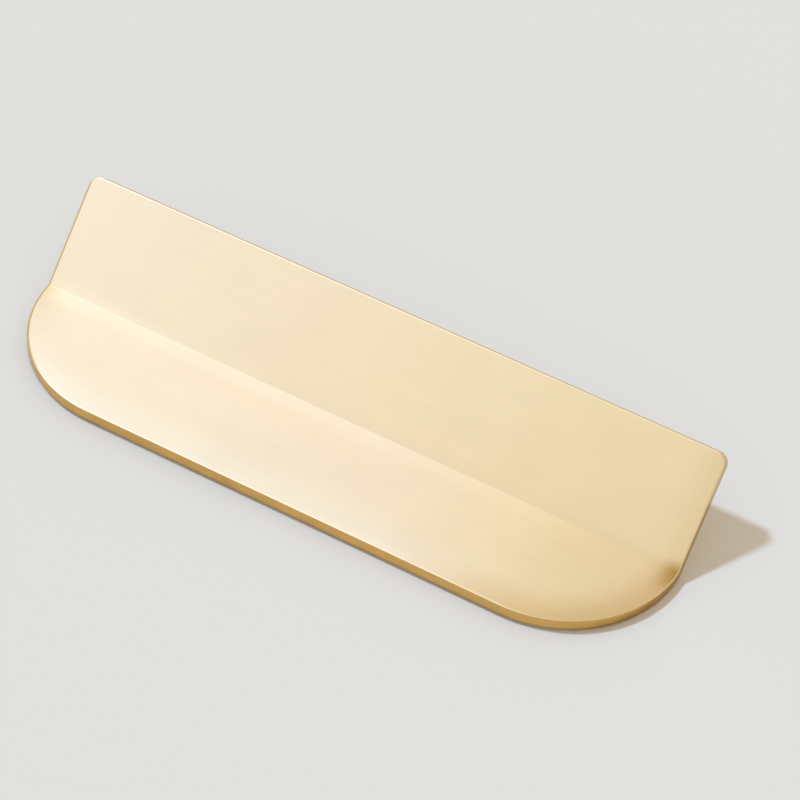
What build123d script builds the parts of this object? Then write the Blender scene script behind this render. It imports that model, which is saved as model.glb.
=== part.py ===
"""Door or drawer pull in brass plate: a D-shaped back plate and a finger lip, folded from one piece.

Millimetres. The back plate lies on the door at z = 0 with the lip rising behind it, +X runs along
the fold and +Y from the plate's rounded edge towards the lip. The origin is midway between the two
fixing holes, on the face that meets the door.
"""
import math
import os

from build123d import *

# The blank and its fold
pull_length = 160.0
plate_thickness = 3.0
back_plate_depth = 28.5  # in front, rounded edge to crease
lip_height = 27.3  # in front, crease to free edge
lip_angle = 47.0  # the lip's rise from the back plate
fold_inner_radius = 1.0  # a tight crease in front

# Its outline and edges
plate_corner_radius = 28.5  # as large as the plate is deep, so that each arc runs into the crease
lip_corner_radius = 2.7
arris_radius = 0.3
arris_angle = 30.0  # two faces that meet at more than this have an arris between them

# Two blind tapped holes in the door side, for screws that come through the door
hole_spacing = 128.0
hole_edge_distance = 14.0  # hole line to the rounded edge
thread_diameter = 4.0  # M4, bored here at the thread's outer diameter
skin_over_hole = 0.6
mouth_chamfer = 0.3

front_y = -hole_edge_distance
crease_y = front_y + back_plate_depth
hole_depth = plate_thickness - skin_over_hole
lip_direction = Vector(0, math.cos(math.radians(lip_angle)), math.sin(math.radians(lip_angle)))
lip_normal = Vector(0, -lip_direction.Z, lip_direction.Y)


def folded_strip():
    """The plate seen from its end: its front line bent once, thickened backwards, run past both ends."""
    front = (front_y, plate_thickness)
    crease = (crease_y, plate_thickness)
    free_edge = (crease_y + lip_height * lip_direction.Y, plate_thickness + lip_height * lip_direction.Z)
    front_line = FilletPolyline(front, crease, free_edge, radius=fold_inner_radius)
    section = make_face(offset(front_line, plate_thickness, side=Side.RIGHT))
    return extrude(Plane.YZ * section, amount=pull_length, both=True)


def outline_prism():
    """The pull's outline from above: square at the lip, with two large round corners in front."""
    reach = back_plate_depth + lip_height + plate_thickness
    outline = Pos(0, front_y + reach / 2) * Rectangle(pull_length, reach)
    front_corners = outline.vertices().sort_by(Axis.Y)[:2]
    outline = fillet(front_corners, plate_corner_radius)
    return extrude(outline, amount=lip_height + plate_thickness)


def edges_through(solid, direction):
    """Straight edges that run through the plate along one direction."""
    return solid.edges().filter_by(Axis((0, 0, 0), direction))


def sharp_edges(solid):
    """Edges where two faces meet at an angle: the arrises, without the seams of fold and corners."""
    found = ShapeList()
    for edge in solid.edges():
        middle = edge @ 0.5
        sides = [face for face in solid.faces() if any(edge.is_same(other) for other in face.edges())]
        normals = [face.normal_at(middle) for face in sides]
        if len(normals) == 2 and normals[0].get_angle(normals[1]) > arris_angle:
            found.append(edge)
    return found


def fixing_hole():
    """One blind hole that opens downwards at the origin, with its mouth eased."""
    radius = thread_diameter / 2
    up = (Align.CENTER, Align.CENTER, Align.MIN)
    drilled = Cylinder(radius, hole_depth, align=up)
    mouth = Cone(radius + mouth_chamfer, radius, mouth_chamfer, align=up)
    return drilled + mouth


def pull_plate():
    """The whole pull: folded, cut to its outline, its arrises eased and its holes drilled."""
    plate = folded_strip() & outline_prism()
    plate = fillet(edges_through(plate, lip_normal), lip_corner_radius)
    plate = fillet(sharp_edges(plate), arris_radius)
    for side in (-1, 1):
        plate -= Pos(side * hole_spacing / 2, 0, 0) * fixing_hole()
    return plate


os.makedirs("parts", exist_ok=True)
pull = pull_plate()
export_step(pull, "parts/pull_plate.step")
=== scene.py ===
"""Looks of a folded brass pull for a door or drawer, built around its packed CAD model.

The file is laid out as a Blender add-on and is run as a script. Everything is in metres in the
CAD's own frame: +X runs along the fold, the rounded front edge faces -Y, the finger lip rises
towards +Y, and the face that meets the door lies at z = 0.
"""
import math

import bpy
import numpy as np
from mathutils import Euler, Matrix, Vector


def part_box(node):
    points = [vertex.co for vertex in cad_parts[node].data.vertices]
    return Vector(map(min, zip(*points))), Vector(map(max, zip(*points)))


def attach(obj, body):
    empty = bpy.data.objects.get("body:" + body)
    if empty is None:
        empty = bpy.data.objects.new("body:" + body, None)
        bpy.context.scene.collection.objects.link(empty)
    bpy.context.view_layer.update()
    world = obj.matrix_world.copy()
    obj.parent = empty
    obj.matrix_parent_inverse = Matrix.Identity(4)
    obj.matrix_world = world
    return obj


bl_info = {
    "name": "Folded Brass Pull",
    "version": (1, 0, 0),
    "blender": (4, 5, 0),
    "location": "3D View > Sidebar > Pull",
    "description": "Brushed brass, screw threads and a small studio for a folded plate pull",
    "category": "Object",
}

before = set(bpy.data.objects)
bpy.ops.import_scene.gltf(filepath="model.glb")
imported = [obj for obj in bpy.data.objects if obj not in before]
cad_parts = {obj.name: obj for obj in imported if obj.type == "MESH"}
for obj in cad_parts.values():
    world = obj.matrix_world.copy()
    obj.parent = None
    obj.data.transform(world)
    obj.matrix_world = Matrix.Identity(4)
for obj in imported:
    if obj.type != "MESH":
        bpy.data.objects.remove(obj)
bpy.context.view_layer.update()
plate_low, plate_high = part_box("pull_plate")

PLATE = "pull_plate"
BODY = "root"
MM = 0.001


# Where the finish changes

# A pair is where a change starts and where it ends. Names in MM are millimetres in the unfolded
# sheet, and the others are shares of the pull's length from its -X end, unless they say otherwise.
# Across is 0 at the start of the fold and negative on the back plate. A cosine is a face's to the
# sheet's own direction: 1 on the front, 0 on the cut edge.

FRONT_COSINES = (0.90, 0.99)  # above which a face belongs to the front
CUT_EDGE_COSINES = (0.15, 0.75)  # below which a face belongs to the cut edge
ARRIS_RISE_COSINES = (0.25, 0.7)  # from the cut edge up to the arris
ARRIS_FALL_COSINES = (0.8, 0.98)  # from the arris up to the front
LIP_START_MM = (0.0, 4.0)  # across, from back plate to lip
FLANK_TOP = 1 / 3  # share of the flank, next to the crease, that has the full rise
FAR_FLANK = 0.5  # share of the flank's rise that is left at the +X end
CREASE_TURN = (0.4, 0.6)  # shares of the fold between which the crease turns
TWIST_RUN = (0.0, 0.6)  # where the lip's foot winds
TWIST_ENDS = (-0.55, 0.45)  # shares of the foot's twist at the start and end of its run
FOLD_APPROACH_MM = (-7.5, -0.5)  # across, where the fold's drawn-in ends begin
FOLD_LEAVING_MM = (1.0, 5.0)  # across, where they end on the lip
FOLD_END_MM = (0.0, 4.7)  # from the rim, how far in they reach
FOLD_END_PULL = (0.2, 1.0)  # share of the pull-in at the -X and the +X end
FOLD_END_SHADE = (0.16, 0.88)  # share of the painted shade on the fold's ends at the -X and the +X end
DROOP_MM = (35.0, 75.0)  # along, where the back plate droops towards +X
PLATE_DRIFT = (0.5, 0.9)  # where the back plate goes over to the far colour, painted shade towards +X
LIP_DRIFT = (0.0, 0.8)  # where the lip does, at an even pace, painted shade too
RIM_DEEPENS = (0.62, 0.88)  # where the rim's painted shade gets deeper and the painted highlight strip ends
RIM_NEAR_FOLD_MM = (-20.0, -6.0)  # across, where the rim has painted shade at the -X end too
NEAR_RIM = 0.25  # share of the edge colour, as painted shade, in the rim at the -X end, beside the fold
FAR_RIM = 0.46  # share of the edge colour, as painted shade, in the rim at the +X end
SHEARED_MM = (0.3, 0.6)  # from the rim, the width of the painted shade line along the sheared ends
SHEARED_TURN = (0.3, 0.9)  # cosine of the rim to X, from the front edge to a square end
SPARED_RUN = (0.35, 1.0)  # where that line comes to spare the front arris
SPARED_MM = (1.2, 0.3)  # below the front face, what it spares


# How the brass varies

# Tones are factors on the colour, and roughnesses are added, at the noise's lowest and highest.

CLOUD_SIZE = 14.0 * MM
EDGE_CLOUD_SIZE = 4.0 * MM
THREAD_CLOUD_SIZE = 0.6 * MM
BROAD_LINE_SCALE = (0.45, 0.4, 0.4)  # against the fine lines: share of their pace along and across
BAND_SCALE = (0.12, 0.06, 0.06)  # the same for the bands
HEIGHT_WEIGHTS = (0.65, 0.35)  # fine lines, broad lines
TONE_WEIGHTS = (0.2, 0.5, 0.3)  # fine lines, broad lines, bands
LINE_TONES = (0.95, 1.05)
CLOUD_TONES = (0.97, 1.03)
EDGE_CLOUD_TONES = (0.82, 1.18)
BOTTOM_SHADE_MM = (0.2, 0.9)  # above the back face, where the painted shade along the bottom of the cut edge ends
BOTTOM_SHADE_TONE = 0.65  # factor on the colour in that painted shade, next to the floor
ARRIS_HIGHLIGHT_SHARE = 0.12  # share of the arris colour, a painted highlight, on an arris
SHEARED_SHARE = 0.85  # share of the painted shade colour in the painted shade line along the sheared ends
LINE_ROUGHNESS = (-0.04, 0.04)
CLOUD_ROUGHNESS = (-0.03, 0.03)
THREAD_ROUGHNESS = (0.25, 0.45)  # all of it, not added
THREAD_SHADE = 0.6  # share of the edge colour left in the dark places of a thread
LINE_DIRECTION = (1.0, 0.004, 0.003)  # a hair off X, so that square ends have a tangent too


# Settings

class PullSheetSettings(bpy.types.PropertyGroup):
    """Sizes of the bent sheet, which the finish follows round the fold."""

    thickness: bpy.props.FloatProperty(
        name="Thickness", description="Thickness of the brass plate",
        default=3.0 * MM, min=0.5 * MM, unit="LENGTH")
    crease_radius: bpy.props.FloatProperty(
        name="Crease radius", description="Radius of the fold in front",
        default=1.0 * MM, min=0.1 * MM, unit="LENGTH")
    crease_line: bpy.props.FloatProperty(
        name="Crease line", description="Where the front faces of plate and lip would meet, along Y",
        default=14.5 * MM, unit="LENGTH")
    lip_angle: bpy.props.FloatProperty(
        name="Lip angle", description="Rise of the lip from the back plate",
        default=math.radians(47), subtype="ANGLE")


class PullBrassSettings(bpy.types.PropertyGroup):
    """Colour and brushing of the brass, with its painted light and shade."""

    face_colour: bpy.props.FloatVectorProperty(
        name="Face colour", description="Brushed brass on the broad faces, where it is palest",
        default=(0.88, 0.725, 0.53), size=3, min=0, max=1, subtype="COLOR")
    # Painted shade: the far colour deepens the brass towards +X, away from the key light, and leaves it
    # pale at -X where the light falls.
    far_shade_colour: bpy.props.FloatVectorProperty(
        name="Far colour", description="What the brushed brass deepens to at the +X end",
        default=(0.88, 0.70, 0.425), size=3, min=0, max=1, subtype="COLOR")
    # Painted highlight: the strip colour paints paler brass along the front edge, where the front catches
    # more light.
    strip_highlight_colour: bpy.props.FloatVectorProperty(
        name="Strip colour", description="Paler brass along the front edge, where hands rub it",
        default=(0.88, 0.745, 0.562), size=3, min=0, max=1, subtype="COLOR")
    # Painted shade: the edge colour is a deeper, darker brass for the upright cut edge, which reflects
    # the floor and its shade.
    edge_shade_colour: bpy.props.FloatVectorProperty(
        name="Edge colour", description="Deeper brass on the cut edge of the plate",
        default=(0.72, 0.44, 0.14), size=3, min=0, max=1, subtype="COLOR")
    # Painted highlight: the arris colour paints paler brass on the eased arrises, for the bright line
    # they catch.
    arris_highlight_colour: bpy.props.FloatVectorProperty(
        name="Arris colour", description="Brass where the eased arrises are rubbed bright",
        default=(0.95, 0.80, 0.58), size=3, min=0, max=1, subtype="COLOR")
    # Painted shade: this dark brass darkens the ends of the fold, most at +X away from the key light, and
    # the line along the sheared ends.
    deep_shade_colour: bpy.props.FloatVectorProperty(
        name="Tarnish colour", description="Brass at the ends of the fold, where the brush doesn't reach",
        default=(0.58, 0.36, 0.08), size=3, min=0, max=1, subtype="COLOR")
    roughness: bpy.props.FloatProperty(
        name="Roughness", description="Roughness of the brushed faces",
        default=0.56, min=0, max=1, subtype="FACTOR")
    edge_roughness: bpy.props.FloatProperty(
        name="Edge roughness", description="Roughness of the cut edge",
        default=0.25, min=0, max=1, subtype="FACTOR")
    arris_roughness: bpy.props.FloatProperty(
        name="Arris roughness", description="Roughness of the eased arrises",
        default=0.50, min=0, max=1, subtype="FACTOR")
    spread: bpy.props.FloatProperty(
        name="Spread", description="How far the brushing spreads a highlight across its lines",
        default=0.50, min=0, max=1, subtype="FACTOR")
    brush_width: bpy.props.FloatProperty(
        name="Brush line width", description="Spacing of the finest brush lines",
        default=0.12 * MM, min=0.02 * MM, unit="LENGTH")
    brush_length: bpy.props.FloatProperty(
        name="Brush line length", description="Length of the finest brush lines",
        default=9.0 * MM, min=1.0 * MM, unit="LENGTH")
    brush_depth: bpy.props.FloatProperty(
        name="Brush line depth", description="Depth of the brush lines",
        default=0.002 * MM, min=0, unit="LENGTH", precision=6)


class PullDressingSettings(bpy.types.PropertyGroup):
    """How dressing left the front near the fold and the rim, as slopes of its shine."""

    flank_rise: bpy.props.FloatProperty(
        name="Flank rise", description="Slope that the plate reaches at the crease",
        default=math.radians(3.7), subtype="ANGLE")
    flank_width: bpy.props.FloatProperty(
        name="Flank width", description="Width of the strip that rises before the crease",
        default=5.0 * MM, min=0.1 * MM, unit="LENGTH")
    foot_twist: bpy.props.FloatProperty(
        name="Foot twist", description="How far the lip's foot winds from end to end",
        default=math.radians(4.5), subtype="ANGLE")
    foot_width: bpy.props.FloatProperty(
        name="Foot width", description="Width of the strip that winds behind the crease",
        default=3.5 * MM, min=0.1 * MM, unit="LENGTH")
    strip_fall: bpy.props.FloatProperty(
        name="Strip fall", description="Slope down to the front edge",
        default=math.radians(2.5), subtype="ANGLE")
    strip_width: bpy.props.FloatProperty(
        name="Strip width", description="Width of the strip that falls towards the front edge",
        default=11.0 * MM, min=0.1 * MM, unit="LENGTH")
    rim_fall: bpy.props.FloatProperty(
        name="Rim fall", description="Slope that the face reaches at its ends",
        default=math.radians(5.0), subtype="ANGLE")
    rim_width: bpy.props.FloatProperty(
        name="Rim width", description="Width of the strip that falls towards an end",
        default=12.0 * MM, min=0.1 * MM, unit="LENGTH")
    lip_share: bpy.props.FloatProperty(
        name="Lip share", description="How much of the fall the lip's ends have",
        default=0.35, min=0, max=1, subtype="FACTOR")
    droop: bpy.props.FloatProperty(
        name="Droop", description="Slope that the back plate gains towards its +X end",
        default=math.radians(4.0), subtype="ANGLE")
    pull_in: bpy.props.FloatProperty(
        name="Pull-in", description="Extra slope at the ends of the fold, where bending drew them in",
        default=math.radians(12.0), subtype="ANGLE")


class PullThreadSettings(bpy.types.PropertyGroup):
    """The screw thread in the two blind holes of the back."""

    diameter: bpy.props.FloatProperty(
        name="Diameter", description="Outer diameter of the thread",
        default=4.0 * MM, min=2.0 * MM, unit="LENGTH")
    pitch: bpy.props.FloatProperty(
        name="Pitch", description="Rise of the thread in one turn",
        default=0.7 * MM, min=0.2 * MM, unit="LENGTH")
    spacing: bpy.props.FloatProperty(
        name="Spacing", description="Distance between the two hole centres",
        default=128.0 * MM, unit="LENGTH")
    start: bpy.props.FloatProperty(
        name="Start", description="Height above the back face where the thread begins",
        default=0.3 * MM, unit="LENGTH")
    end: bpy.props.FloatProperty(
        name="End", description="Height above the back face where the thread runs out",
        default=2.4 * MM, unit="LENGTH")


class PullStudioSettings(bpy.types.PropertyGroup):
    """Floor, light and camera of the small studio."""

    floor_colour: bpy.props.FloatVectorProperty(
        name="Floor colour", description="Pale matt floor",
        default=(0.80, 0.80, 0.80), size=3, min=0, max=1, subtype="COLOR")
    roll: bpy.props.FloatProperty(
        name="Roll", description="How far the pull has rolled back on its fold",
        default=math.radians(1.55), subtype="ANGLE")
    backdrop_colour: bpy.props.FloatVectorProperty(
        name="Backdrop colour", description="What the camera sees beyond the floor",
        default=(0.761, 0.745, 0.738), size=3, min=0, max=1, subtype="COLOR")
    fill_colour: bpy.props.FloatVectorProperty(
        name="Fill light", description="Warm light from all round the room",
        default=(0.672, 0.582, 0.460), size=3, min=0, max=2, subtype="COLOR")
    key_colour: bpy.props.FloatVectorProperty(
        name="Key light colour", description="Cool daylight from the left",
        default=(0.59, 0.775, 1.0), size=3, min=0, max=1, subtype="COLOR")
    key_strength: bpy.props.FloatProperty(
        name="Key light strength", description="Key light on a face square to it",
        default=1.69, min=0)
    key_towards: bpy.props.FloatVectorProperty(
        name="Towards the key light", description="Direction from the pull to the key light",
        default=(-0.607, -0.159, 1.0), size=3, subtype="XYZ")
    key_size: bpy.props.FloatProperty(
        name="Key light size", description="How wide the key light looks from the pull",
        default=math.radians(5.5), subtype="ANGLE")
    camera_place: bpy.props.FloatVectorProperty(
        name="Camera place", description="Where the camera stands",
        default=(0.211429, -0.420473, 0.514713), size=3, subtype="TRANSLATION")
    camera_turn: bpy.props.FloatVectorProperty(
        name="Camera turn", description="How the camera is turned",
        default=(math.radians(43.7408), math.radians(-4.1549), math.radians(29.0976)),
        size=3, subtype="EULER")
    camera_lens: bpy.props.FloatProperty(
        name="Lens", description="Focal length in millimetres on a 36 mm sensor",
        default=143.744, min=10)


# Nodes

def connect(tree, socket, value):
    """Links a node output to a socket, or sets a plain value on it."""
    if isinstance(value, bpy.types.NodeSocket):
        tree.links.new(value, socket)
    else:
        socket.default_value = value


def add_node(tree, kind, inputs=None, **settings):
    """Adds a node of a kind, with its settings, and its inputs by name or number."""
    node = tree.nodes.new(kind)
    for name, value in settings.items():
        setattr(node, name, value)
    for key, value in (inputs or {}).items():
        connect(tree, node.inputs[key], value)
    return node


def calc(tree, operation, *values):
    """A Math node's result."""
    node = add_node(tree, "ShaderNodeMath", operation=operation)
    for socket, value in zip(node.inputs, values):
        connect(tree, socket, value)
    return node.outputs[0]


def vector(tree, x=0.0, y=0.0, z=0.0):
    """A vector from three values."""
    return add_node(tree, "ShaderNodeCombineXYZ", {0: x, 1: y, 2: z}).outputs[0]


def smooth_step(tree, value, low, high, curve="SMOOTHSTEP"):
    """0 below low, 1 above high, and a smooth curve, or a straight line, between them."""
    inputs = {"Value": value, "From Min": low, "From Max": high}
    return add_node(tree, "ShaderNodeMapRange", inputs, interpolation_type=curve).outputs["Result"]


def vector_calc(tree, operation, *values):
    """A Vector Math node's vector."""
    node = add_node(tree, "ShaderNodeVectorMath", operation=operation)
    for socket, value in zip(node.inputs, values):
        connect(tree, socket, value)
    return node.outputs["Vector"]


def scaled(tree, direction, factor):
    """A vector times a factor."""
    node = add_node(tree, "ShaderNodeVectorMath", {0: direction}, operation="SCALE")
    connect(tree, node.inputs["Scale"], factor)
    return node.outputs["Vector"]


def dot_product(tree, first, second):
    """The dot product of two vectors."""
    node = add_node(tree, "ShaderNodeVectorMath", {0: first, 1: second}, operation="DOT_PRODUCT")
    return node.outputs["Value"]


def product(tree, first, *others):
    """Two or more values multiplied together."""
    for value in others:
        first = calc(tree, "MULTIPLY", first, value)
    return first


def weighted_sum(tree, weights, values):
    """Each value times its weight, added together."""
    total = 0.0
    for weight, value in zip(weights, values):
        total = calc(tree, "MULTIPLY_ADD", value, weight, total)
    return total


def inverse(tree, mask):
    """1 less a mask."""
    return calc(tree, "SUBTRACT", 1.0, mask)


def fade(tree, value, low, high):
    """1 below low, 0 above high, and a smooth curve between them."""
    return inverse(tree, smooth_step(tree, value, low, high))


def between(tree, factor, start, end):
    """A value that runs from start to end as a factor runs from 0 to 1."""
    return add_node(tree, "ShaderNodeMix", {0: factor, 2: start, 3: end}, data_type="FLOAT").outputs[0]


def noise(tree, at, detail, roughness=0.5):
    """Noise with a mean of about 0.5 at a point given in units of its own grain."""
    inputs = {"Vector": at, "Scale": 1.0, "Detail": detail, "Roughness": roughness}
    return add_node(tree, "ShaderNodeTexNoise", inputs).outputs[0]


def mix_colours(tree, factor, first, second, blend="MIX"):
    """A second colour laid over a first by a factor, plainly or by another blend."""
    node = add_node(tree, "ShaderNodeMix", data_type="RGBA", blend_type=blend)
    connect(tree, node.inputs[0], factor)
    connect(tree, node.inputs[6], first)
    connect(tree, node.inputs[7], second)
    return node.outputs[2]


def start_group(name, inputs, outputs):
    """A new node group with its sockets, and its input and output nodes."""
    group = bpy.data.node_groups.new(name, "ShaderNodeTree")
    for label, kind in inputs.items():
        group.interface.new_socket(label, in_out="INPUT", socket_type=f"NodeSocket{kind}")
    for label, kind in outputs.items():
        group.interface.new_socket(label, in_out="OUTPUT", socket_type=f"NodeSocket{kind}")
    return group, group.nodes.new("NodeGroupInput").outputs, group.nodes.new("NodeGroupOutput").inputs


def place_group(tree, group, inputs):
    """A group placed in a tree, with its inputs set or linked."""
    return add_node(tree, "ShaderNodeGroup", inputs, node_tree=group).outputs


def fold_start(sheet):
    """Where the flat back plate ends and the fold begins, along Y."""
    return sheet.crease_line - sheet.crease_radius * math.tan(sheet.lip_angle / 2)


def sheet_group(sheet):
    """Where a point lies in the sheet before it was folded, in millimetres.

    With c the fold's centre line and p the point, the turn is atan2(p.y - c.y, c.z - p.z) held
    between 0 and the lip's angle. Across is min(p.y - c.y, 0) + turn * mean radius + the part of
    p - c along the lip where that is positive. Depth is the outer radius less the part of p - c
    along (0, sin turn, -cos turn). The face direction is (0, -sin turn, cos turn), and up the
    sheet is (0, cos turn, sin turn).
    """
    outputs = {
        "Along": "Float", "Across": "Float", "Depth": "Float",
        "Face Direction": "Vector", "Up Sheet": "Vector"}
    group, given, result = start_group("sheet_coordinates", {"Position": "Vector"}, outputs)
    radius = sheet.crease_radius + sheet.thickness
    mean_radius = radius - sheet.thickness / 2
    place = add_node(group, "ShaderNodeSeparateXYZ", {0: given["Position"]}).outputs
    back = calc(group, "SUBTRACT", place["Y"], fold_start(sheet))
    down = calc(group, "SUBTRACT", radius, place["Z"])
    turn = calc(group, "ARCTAN2", back, down)
    turn = calc(group, "MINIMUM", calc(group, "MAXIMUM", turn, 0.0), sheet.lip_angle)
    sine = calc(group, "SINE", turn)
    cosine = calc(group, "COSINE", turn)
    outward = calc(group, "MULTIPLY_ADD", back, sine, product(group, down, cosine))
    up_lip = calc(
        group, "SUBTRACT",
        product(group, back, math.cos(sheet.lip_angle)),
        product(group, down, math.sin(sheet.lip_angle)))
    across = calc(group, "MULTIPLY_ADD", turn, mean_radius, calc(group, "MINIMUM", back, 0.0))
    across = calc(group, "ADD", across, calc(group, "MAXIMUM", up_lip, 0.0))
    depth = calc(group, "SUBTRACT", radius, outward)
    for name, length in (("Along", place["X"]), ("Across", across), ("Depth", depth)):
        connect(group, result[name], calc(group, "DIVIDE", length, MM))
    facing = vector(group, 0.0, product(group, sine, -1.0), cosine)
    connect(group, result["Face Direction"], facing)
    connect(group, result["Up Sheet"], vector(group, 0.0, cosine, sine))
    return group


def rim_distance(group, along, across, sheet):
    """How far a point lies from the rim at its end of the pull, and the cosine of that rim to X.

    q is how far the point lies beyond the middle of its corner's arc: max(|along| - middle, 0) in
    x, and min(across - crease, 0) in y. The distance is the corner's radius less |q|, and the
    cosine is q.x / |q|. The free edge of the lip doesn't count as a rim.
    """
    corner = (sheet.crease_line - plate_low.y) / MM
    crease = (sheet.crease_line - fold_start(sheet)) / MM
    middle = plate_high.x / MM - corner
    beyond_x = calc(group, "SUBTRACT", calc(group, "ABSOLUTE", along), middle)
    beyond_x = calc(group, "MAXIMUM", beyond_x, 0.0)
    beyond_y = calc(group, "MINIMUM", calc(group, "SUBTRACT", across, crease), 0.0)
    square = calc(group, "MULTIPLY_ADD", beyond_x, beyond_x, product(group, beyond_y, beyond_y))
    beyond = calc(group, "SQRT", square)
    return calc(group, "SUBTRACT", corner, beyond), calc(group, "DIVIDE", beyond_x, beyond)


def lean_to_lip(group, across, drift, strip, sheet, dressing):
    """How much more the front rises towards the lip than the plain fold does, as an angle.

    The plate rises along the flank before the crease, less towards +X, and along the strip at the
    front edge. The crease turns in the middle fifth of the fold, so it is crisp. The lip's foot
    behind it winds from end to end.
    """
    flank_edge = -dressing.flank_width / MM
    fold = sheet.lip_angle * (sheet.crease_radius + sheet.thickness / 2) / MM
    flank = smooth_step(group, across, flank_edge, FLANK_TOP * flank_edge)
    turned = smooth_step(group, across, 0.0, fold, "LINEAR")
    creased = smooth_step(group, turned, *CREASE_TURN)
    rise = between(group, drift, dressing.flank_rise, FAR_FLANK * dressing.flank_rise)
    lean = product(group, calc(group, "SUBTRACT", flank, creased), rise)
    lean = calc(group, "MULTIPLY_ADD", calc(group, "SUBTRACT", creased, turned), sheet.lip_angle, lean)
    above_foot = smooth_step(group, across, fold, fold + dressing.foot_width / MM)
    foot = calc(group, "SUBTRACT", creased, above_foot)
    twist = between(group, smooth_step(group, drift, *TWIST_RUN), *TWIST_ENDS)
    lean = calc(group, "MULTIPLY_ADD", foot, product(group, twist, dressing.foot_twist), lean)
    return calc(group, "MULTIPLY_ADD", strip, dressing.strip_fall, lean)


def dressing_group(sheet, dressing):
    """The front's normal as bending and dressing left it, and masks of its painted highlight and shade.

    On the front, the normal n becomes n - tan(lean) * up the sheet + tan(fall) * X, made a unit
    again. The fall is towards the nearer end: the rim fall beside the rim and the pull-in at the
    ends of the fold, both times the rim's cosine to X, and the plate's droop towards +X. Drift is
    how far the colour has gone from the -X end's to the +X end's, a painted shade towards +X.
    Strip lies along the front edge and is a painted highlight; Rim beside the rim, Fold End on the
    drawn-in ends of the fold, and Sheared along the cut ends are painted shade.
    """
    inputs = {
        "Along": "Float", "Across": "Float", "Depth": "Float",
        "Face Direction": "Vector", "Up Sheet": "Vector"}
    outputs = {
        "Normal": "Vector", "Drift": "Float", "Strip": "Float", "Rim": "Float", "Fold End": "Float",
        "Sheared": "Float"}
    group, given, result = start_group("dressed_front", inputs, outputs)
    along = given["Along"]
    across = given["Across"]
    normal = add_node(group, "ShaderNodeNewGeometry").outputs["Normal"]
    front = smooth_step(group, dot_product(group, normal, given["Face Direction"]), *FRONT_COSINES)
    drift = smooth_step(group, along, plate_low.x / MM, plate_high.x / MM, "LINEAR")
    on_lip = smooth_step(group, across, *LIP_START_MM)
    deepened = smooth_step(group, drift, *RIM_DEEPENS)
    front_edge = (plate_low.y - fold_start(sheet)) / MM
    # The strip slopes the front down to its edge, and in the colour it is a painted highlight that stops
    # towards +X.
    strip = fade(group, across, front_edge, front_edge + dressing.strip_width / MM)
    strip = product(group, strip, inverse(group, deepened))
    rim, endwards = rim_distance(group, along, across, sheet)
    near_rim = fade(group, rim, 0.0, dressing.rim_width / MM)
    near_rim = product(group, near_rim, near_rim, between(group, on_lip, 1.0, dressing.lip_share))
    near_fold = calc(
        group, "SUBTRACT",
        smooth_step(group, across, *FOLD_APPROACH_MM),
        smooth_step(group, across, *FOLD_LEAVING_MM))
    fold_end = product(group, fade(group, rim, *FOLD_END_MM), near_fold)

    lean = lean_to_lip(group, across, drift, strip, sheet, dressing)
    drawn = product(group, fold_end, between(group, drift, *FOLD_END_PULL))
    fall = product(group, near_rim, dressing.rim_fall)
    fall = calc(group, "MULTIPLY_ADD", drawn, dressing.pull_in, fall)
    drooped = product(group, smooth_step(group, along, *DROOP_MM), inverse(group, on_lip))
    fall = calc(group, "MULTIPLY_ADD", drooped, dressing.droop, product(group, fall, endwards))
    fall = product(group, fall, calc(group, "SIGN", along))
    back_lean = product(group, calc(group, "TANGENT", lean), front, -1.0)
    end_lean = product(group, calc(group, "TANGENT", fall), front)
    tilted = vector_calc(group, "ADD", normal, scaled(group, given["Up Sheet"], back_lean))
    tilted = vector_calc(group, "ADD", tilted, vector(group, end_lean))

    # Painted light: the drift leaves the brass pale at -X, where the key light falls, and paints it
    # deeper towards +X.
    plate_drift = smooth_step(group, drift, *PLATE_DRIFT)
    lip_drift = smooth_step(group, drift, *LIP_DRIFT, "LINEAR")
    # Painted shade in the rim: a share of the edge colour beside the ends, much more towards +X.
    near_deepness = product(group, smooth_step(group, across, *RIM_NEAR_FOLD_MM), NEAR_RIM)
    deepness = between(group, deepened, near_deepness, FAR_RIM)
    # Painted shade on the ends of the fold, light at -X and heavy at +X, away from the key light.
    fold_end_shade = between(group, drift, *FOLD_END_SHADE)
    # Painted shade along the sheared ends: a dark line beside the rim, sparing the front arris towards
    # +X.
    sheared = product(group, fade(group, rim, *SHEARED_MM), smooth_step(group, endwards, *SHEARED_TURN))
    arris_depths = [sheet.thickness / MM - below for below in SPARED_MM]
    spared = smooth_step(group, given["Depth"], *arris_depths)
    spared = product(group, smooth_step(group, drift, *SPARED_RUN), spared)
    found = {
        "Normal": vector_calc(group, "NORMALIZE", tilted),
        "Drift": between(group, on_lip, plate_drift, lip_drift),
        "Strip": product(group, strip, front),
        "Rim": product(group, near_rim, deepness, front),
        "Fold End": product(group, fold_end, fold_end_shade, front),
        "Sheared": product(group, sheared, inverse(group, spared))}
    for name, value in found.items():
        connect(group, result[name], value)
    return group


def edge_group():
    """Masks from how far the surface turns away from the sheet's broad faces.

    The cosine is |normal . face direction|: 1 on the faces, 0 on the cut edge. Cut Edge rises as
    it falls, and Arris is a hump on the eased corner between the two.
    """
    inputs = {"Face Direction": "Vector"}
    group, given, result = start_group("edge_masks", inputs, {"Cut Edge": "Float", "Arris": "Float"})
    normal = add_node(group, "ShaderNodeNewGeometry").outputs["Normal"]
    cosine = calc(group, "ABSOLUTE", dot_product(group, normal, given["Face Direction"]))
    rise = smooth_step(group, cosine, *ARRIS_RISE_COSINES)
    connect(group, result["Cut Edge"], fade(group, cosine, *CUT_EDGE_COSINES))
    connect(group, result["Arris"], product(group, rise, fade(group, cosine, *ARRIS_FALL_COSINES)))
    return group


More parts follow.
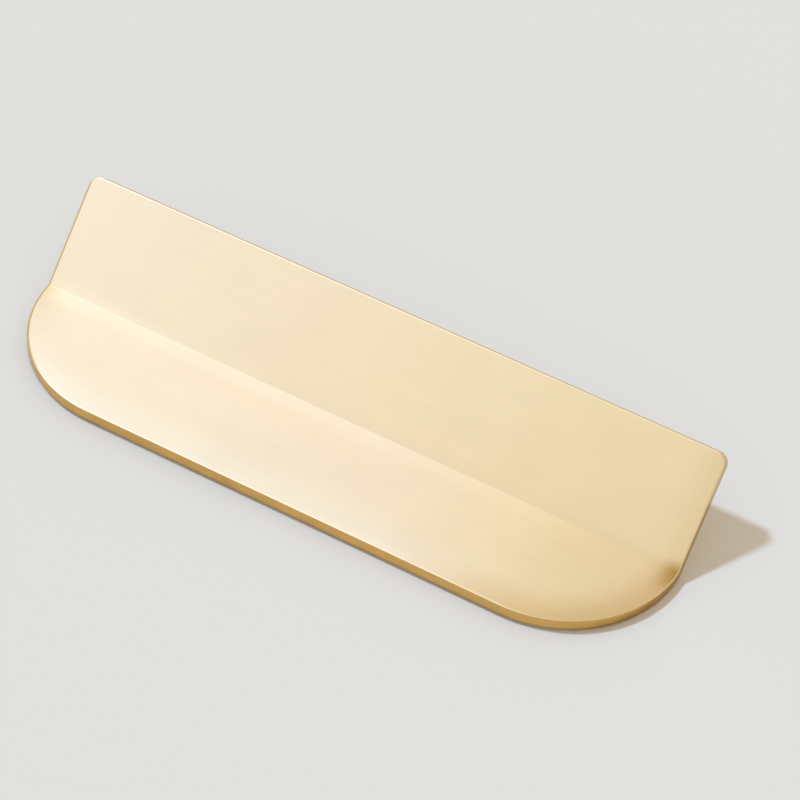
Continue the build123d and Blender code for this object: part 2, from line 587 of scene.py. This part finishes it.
def brushing_group():
    """Brush lines that run along the sheet on its faces and round it on its cut edge.

    Three noises are stretched along the lines: fine lines, broader lines two and a half times as
    wide, and long faint bands. Height is a weighted sum of the first two, and Tone of all three,
    both about 0.5.
    """
    inputs = {
        "Along": "Float", "Across": "Float", "Depth": "Float", "Cut Edge": "Float",
        "Line Width": "Float", "Line Length": "Float"}
    outputs = {"Height": "Float", "Tone": "Float"}
    group, given, result = start_group("brushed_lines", inputs, outputs)
    halfway = 0.5
    on_edge = calc(group, "GREATER_THAN", given["Cut Edge"], halfway)
    fine_across = calc(group, "DIVIDE", given["Across"], given["Line Width"])
    slow_across = calc(group, "DIVIDE", given["Across"], given["Line Length"])
    across = between(group, on_edge, fine_across, slow_across)
    depth = product(group, calc(group, "DIVIDE", given["Depth"], given["Line Width"]), on_edge)
    along = calc(group, "DIVIDE", given["Along"], given["Line Length"])
    at = vector(group, along, across, depth)
    fine = noise(group, at, detail=3.0, roughness=0.6)
    broad = noise(group, vector_calc(group, "MULTIPLY", at, BROAD_LINE_SCALE), detail=2.0)
    band = noise(group, vector_calc(group, "MULTIPLY", at, BAND_SCALE), detail=1.0)
    connect(group, result["Height"], weighted_sum(group, HEIGHT_WEIGHTS, (fine, broad)))
    connect(group, result["Tone"], weighted_sum(group, TONE_WEIGHTS, (fine, broad, band)))
    return group


def mottling_group():
    """Faint clouds of handling and lacquer: noise of a given size, about 0.5."""
    inputs = {"Position": "Vector", "Size": "Float"}
    group, given, result = start_group("soft_mottling", inputs, {"Clouds": "Float"})
    at = scaled(group, given["Position"], calc(group, "DIVIDE", 1.0, given["Size"]))
    connect(group, result["Clouds"], noise(group, at, detail=3.0, roughness=0.55))
    return group


def shared_groups(sheet, dressing):
    """The node groups that the brass materials share, built once."""
    makers = {
        "sheet_coordinates": lambda: sheet_group(sheet),
        "dressed_front": lambda: dressing_group(sheet, dressing),
        "edge_masks": edge_group,
        "brushed_lines": brushing_group,
        "soft_mottling": mottling_group,
    }
    return {name: bpy.data.node_groups.get(name) or make() for name, make in makers.items()}


def start_material(name):
    """A material with an empty tree, its tree and its Principled shader."""
    material = bpy.data.materials.new(name)
    material.use_nodes = True
    tree = material.node_tree
    tree.nodes.clear()
    output = tree.nodes.new("ShaderNodeOutputMaterial")
    shader = tree.nodes.new("ShaderNodeBsdfPrincipled")
    tree.links.new(shader.outputs[0], output.inputs["Surface"])
    return material, tree, shader


def place_clouds(tree, groups, size):
    """Soft mottling of a size, on Object coordinates."""
    position = tree.nodes.new("ShaderNodeTexCoord").outputs["Object"]
    return place_group(tree, groups["soft_mottling"], {"Position": position, "Size": size})["Clouds"]


def plate_colour(tree, brass, front, masks):
    """The brass's colour in layers, from the pale face to the painted shade line along its sheared ends.
    """
    # All layers past the face colour are painted light: shade towards +X, highlights on the front edge
    # and arrises, shade on cut edge, rims, fold ends.
    layers = (
        (front["Drift"], brass.far_shade_colour),
        (front["Strip"], brass.strip_highlight_colour),
        (masks["Cut Edge"], brass.edge_shade_colour),
        (front["Rim"], brass.edge_shade_colour),
        (front["Fold End"], brass.deep_shade_colour),
        (product(tree, masks["Arris"], ARRIS_HIGHLIGHT_SHARE), brass.arris_highlight_colour),
        (product(tree, front["Sheared"], SHEARED_SHARE), brass.deep_shade_colour))
    colour = (*brass.face_colour, 1)
    for mask, layer in layers:
        colour = mix_colours(tree, mask, colour, (*layer, 1))
    return colour


def plate_tone(tree, groups, spot, masks, lines, clouds):
    """How light the brass is against its colour, about 1 on the faces and darker low on the cut edge, a
    painted shade next to the floor.
    """
    marks = between(tree, place_clouds(tree, groups, EDGE_CLOUD_SIZE), *EDGE_CLOUD_TONES)
    # Painted shade: the bottom of the cut edge is darker next to the floor.
    bottom_shade = product(tree, masks["Cut Edge"], fade(tree, spot["Depth"], *BOTTOM_SHADE_MM))
    return product(
        tree,
        between(tree, lines["Tone"], *LINE_TONES),
        between(tree, clouds, *CLOUD_TONES),
        between(tree, masks["Cut Edge"], 1.0, marks),
        between(tree, bottom_shade, 1.0, BOTTOM_SHADE_TONE))


def plate_brass(brass, sheet, dressing):
    """Brushed brass for the folded plate, with painted shade on the cut edge and painted highlights on
    its eased arrises.
    """
    groups = shared_groups(sheet, dressing)
    material, tree, shader = start_material("brushed_brass_sheet")
    position = tree.nodes.new("ShaderNodeTexCoord").outputs["Object"]
    spot = place_group(tree, groups["sheet_coordinates"], {"Position": position})
    front = place_group(tree, groups["dressed_front"], {socket.name: socket for socket in spot})
    masks = place_group(tree, groups["edge_masks"], {"Face Direction": spot["Face Direction"]})
    lines = place_group(tree, groups["brushed_lines"], {
        "Along": spot["Along"], "Across": spot["Across"], "Depth": spot["Depth"],
        "Cut Edge": masks["Cut Edge"], "Line Width": brass.brush_width / MM,
        "Line Length": brass.brush_length / MM})
    clouds = place_clouds(tree, groups, CLOUD_SIZE)

    tone = plate_tone(tree, groups, spot, masks, lines, clouds)
    colour = plate_colour(tree, brass, front, masks)
    colour = mix_colours(tree, 1.0, colour, vector(tree, tone, tone, tone), blend="MULTIPLY")
    connect(tree, shader.inputs["Base Color"], colour)

    roughness = between(tree, masks["Cut Edge"], brass.roughness, brass.edge_roughness)
    roughness = between(tree, masks["Arris"], roughness, brass.arris_roughness)
    roughness = calc(tree, "ADD", roughness, between(tree, clouds, *CLOUD_ROUGHNESS))
    roughness = calc(tree, "ADD", roughness, between(tree, lines["Tone"], *LINE_ROUGHNESS))
    connect(tree, shader.inputs["Roughness"], roughness)
    shader.inputs["Metallic"].default_value = 1.0
    shader.inputs["Anisotropic"].default_value = brass.spread

    normal = tree.nodes.new("ShaderNodeNewGeometry").outputs["Normal"]
    across_lines = vector_calc(tree, "CROSS_PRODUCT", normal, LINE_DIRECTION)
    connect(tree, shader.inputs["Tangent"], across_lines)
    bump = add_node(tree, "ShaderNodeBump", {
        "Strength": 1.0, "Distance": brass.brush_depth, "Height": lines["Height"],
        "Normal": front["Normal"]})
    connect(tree, shader.inputs["Normal"], bump.outputs[0])
    return material


def thread_brass(brass, sheet, dressing):
    """Bare tapped brass for the screw threads."""
    groups = shared_groups(sheet, dressing)
    material, tree, shader = start_material("tapped_brass")
    clouds = place_clouds(tree, groups, THREAD_CLOUD_SIZE)
    # The thread takes the edge colour, a painted shade, and is darker still in random clouds.
    shadowed = tuple(THREAD_SHADE * part for part in brass.edge_shade_colour)
    colour = mix_colours(tree, clouds, (*shadowed, 1), (*brass.edge_shade_colour, 1))
    connect(tree, shader.inputs["Base Color"], colour)
    connect(tree, shader.inputs["Roughness"], between(tree, clouds, *THREAD_ROUGHNESS))
    shader.inputs["Metallic"].default_value = 1.0
    return material


# Meshes

def grid_faces(rows, columns, wrap_rows=False, wrap_columns=False):
    """Quads of a grid of points numbered row by row, each given as four point numbers."""
    row = np.arange(rows if wrap_rows else rows - 1)
    column = np.arange(columns if wrap_columns else columns - 1)
    r, c = np.meshgrid(row, column, indexing="ij")
    next_r = (r + 1) % rows
    next_c = (c + 1) % columns
    corners = (r * columns + c, r * columns + next_c, next_r * columns + next_c, next_r * columns + c)
    return np.stack(corners, axis=-1).reshape(-1, 4)


def mesh_object(name, points, quads, material):
    """An object at the origin whose mesh has these points and quads, smooth shaded."""
    mesh = bpy.data.meshes.new(name)
    mesh.from_pydata(points.tolist(), [], quads.tolist())
    mesh.polygons.foreach_set("use_smooth", np.ones(len(quads), dtype=bool))
    mesh.materials.append(material)
    mesh.update()
    item = bpy.data.objects.new(name, mesh)
    bpy.context.scene.collection.objects.link(item)
    return item


def thread_ring(thread, centre_x):
    """Points and quads of one threaded wall: a closed ring with the thread on its inner side.

    The inner radius at turn angle a and height z is r = root - depth * ridge(z / pitch - a / 2 pi),
    where ridge is a 60 degree saw with a flat crest and a flat root, and the depth fades to 0 over
    the last third of a pitch at both ends. The outer side is a plain cylinder just inside the wall.
    """
    points_round = 96
    rows = 97
    gap = 0.004 * MM
    wall = 0.03 * MM
    depth_share = 0.54
    root_flat = 1 / 8
    flank = 5 / 8
    depth = depth_share * thread.pitch
    outer = thread.diameter / 2 - gap
    root = outer - wall
    angle = np.linspace(0, 2 * math.pi, points_round, endpoint=False)[None, :]
    height = np.linspace(thread.start, thread.end, rows)[:, None]
    phase = (height / thread.pitch - angle / (2 * math.pi)) % 1.0
    ridge = np.clip((np.abs(phase - 0.5) * 2 - root_flat) / flank, 0, 1)
    run_out = np.minimum(height - thread.start, thread.end - height) / (thread.pitch / 3)
    inner_radius = root - depth * ridge * np.clip(run_out, 0, 1)
    outer_radius = np.full((2, points_round), outer)
    radius = np.vstack([inner_radius, outer_radius])
    level = np.vstack([height, [[thread.end]], [[thread.start]]]) * np.ones((1, points_round))
    x = centre_x + radius * np.cos(angle)
    y = radius * np.sin(angle)
    points = np.stack([x, y, level], axis=-1).reshape(-1, 3)
    quads = grid_faces(rows + 2, points_round, wrap_rows=True, wrap_columns=True)
    return points, quads[:, ::-1]


# Operators

class PULL_OT_brush_plate(bpy.types.Operator):
    """Gives the folded plate its brushed brass"""

    bl_idname = "pull.brush_plate"
    bl_label = "Brush the plate"

    def execute(self, context):
        scene = context.scene
        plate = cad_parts[PLATE]
        material = plate_brass(scene.pull_brass, scene.pull_sheet, scene.pull_dressing)
        for place in range(len(plate.material_slots)):
            plate.material_slots[place].material = material
        return {"FINISHED"}


class PULL_OT_cut_threads(bpy.types.Operator):
    """Cuts the screw thread in both blind holes of the back"""

    bl_idname = "pull.cut_threads"
    bl_label = "Cut the threads"

    def execute(self, context):
        scene = context.scene
        thread = scene.pull_thread
        material = thread_brass(scene.pull_brass, scene.pull_sheet, scene.pull_dressing)
        for side, name in ((-1, "thread_left"), (1, "thread_right")):
            points, quads = thread_ring(thread, side * thread.spacing / 2)
            item = mesh_object(name, points, quads, material)
            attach(item, BODY)
        return {"FINISHED"}


class PULL_OT_set_studio(bpy.types.Operator):
    """Sets up the pale floor, the soft light and the camera"""

    bl_idname = "pull.set_studio"
    bl_label = "Set up the studio"

    def execute(self, context):
        scene = context.scene
        studio = scene.pull_studio
        self.lay_floor(scene.pull_sheet, studio)
        self.light_room(scene, studio)
        self.place_camera(scene, studio)
        scene.view_settings.view_transform = "Standard"
        return {"FINISHED"}

    def lay_floor(self, sheet, studio):
        """A flat matt floor, 4 m square, a hair below the pull.

        The pull rolls back a little on its fold, so its rounded edge stands just off the floor. The
        pull stays in its frame, and the floor is tilted instead: z = slope * (y - fold start) - gap.
        """
        material, _, shader = start_material("pale_matt_floor")
        shader.inputs["Base Color"].default_value = (*studio.floor_colour, 1)
        shader.inputs["Roughness"].default_value = 1.0
        shader.inputs["Specular IOR Level"].default_value = 0.0
        half_width = 2.0
        points_wide = 9
        gap = 0.02 * MM
        side = np.linspace(-half_width, half_width, points_wide)
        x, y = np.meshgrid(side, side)
        z = math.tan(studio.roll) * (y - fold_start(sheet)) - gap
        points = np.stack([x, y, z], axis=-1).reshape(-1, 3)
        floor = mesh_object("studio_floor", points, grid_faces(points_wide, points_wide), material)

    def light_room(self, scene, studio):
        """The warm room all round, pale to the camera and in reflections, and one key light."""
        world = bpy.data.worlds.new("room_light")
        scene.world = world
        world.use_nodes = True
        tree = world.node_tree
        tree.nodes.clear()
        rays = tree.nodes.new("ShaderNodeLightPath").outputs
        seen = calc(tree, "MAXIMUM", rays["Is Camera Ray"], rays["Is Glossy Ray"])
        seen = calc(tree, "MAXIMUM", seen, rays["Is Transmission Ray"])
        colour = mix_colours(tree, seen, (*studio.fill_colour, 1), (*studio.backdrop_colour, 1))
        background = add_node(tree, "ShaderNodeBackground", {"Color": colour, "Strength": 1.0})
        output = tree.nodes.new("ShaderNodeOutputWorld")
        tree.links.new(background.outputs[0], output.inputs["Surface"])

        key = bpy.data.lights.new("key_light", "SUN")
        key.energy = studio.key_strength
        key.color = studio.key_colour
        key.angle = studio.key_size
        lamp = bpy.data.objects.new("key_light", key)
        towards = Vector(studio.key_towards).normalized()
        lamp.rotation_euler = towards.to_track_quat("Z", "Y").to_euler()
        lamp.location = towards
        scene.collection.objects.link(lamp)

    def place_camera(self, scene, studio):
        """The camera at the photograph's angle."""
        data = bpy.data.cameras.new("camera")
        data.lens = studio.camera_lens
        data.sensor_width = 36.0
        data.clip_start = 0.01
        data.clip_end = 20.0
        camera = bpy.data.objects.new("camera", data)
        camera.location = studio.camera_place
        camera.rotation_euler = Euler(studio.camera_turn)
        scene.collection.objects.link(camera)
        scene.camera = camera


class PULL_PT_sidebar(bpy.types.Panel):
    """The pull's steps and settings in the sidebar"""

    bl_idname = "PULL_PT_sidebar"
    bl_label = "Folded Brass Pull"
    bl_space_type = "VIEW_3D"
    bl_region_type = "UI"
    bl_category = "Pull"

    def draw(self, context):
        layout = self.layout
        for step in STEPS:
            layout.operator(step.bl_idname)
        for name, kind in SETTINGS.items():
            box = layout.box()
            box.label(text=kind.__doc__.splitlines()[0])
            settings = getattr(context.scene, name)
            for field in kind.__annotations__:
                box.prop(settings, field)


SETTINGS = {
    "pull_sheet": PullSheetSettings,
    "pull_brass": PullBrassSettings,
    "pull_dressing": PullDressingSettings,
    "pull_thread": PullThreadSettings,
    "pull_studio": PullStudioSettings,
}
STEPS = (PULL_OT_brush_plate, PULL_OT_cut_threads, PULL_OT_set_studio)


def register():
    """Makes the settings, the steps and the sidebar known to Blender."""
    for kind in (*SETTINGS.values(), *STEPS, PULL_PT_sidebar):
        bpy.utils.register_class(kind)
    for name, kind in SETTINGS.items():
        setattr(bpy.types.Scene, name, bpy.props.PointerProperty(type=kind))


def unregister():
    """Takes the settings, the steps and the sidebar away again."""
    for name in SETTINGS:
        delattr(bpy.types.Scene, name)
    for kind in reversed((*SETTINGS.values(), *STEPS, PULL_PT_sidebar)):
        bpy.utils.unregister_class(kind)


def main():
    """Builds the whole scene."""
    register()
    bpy.ops.pull.brush_plate()
    bpy.ops.pull.cut_threads()
    bpy.ops.pull.set_studio()
    bpy.context.view_layer.update()


if __name__ == "__main__":
    main()
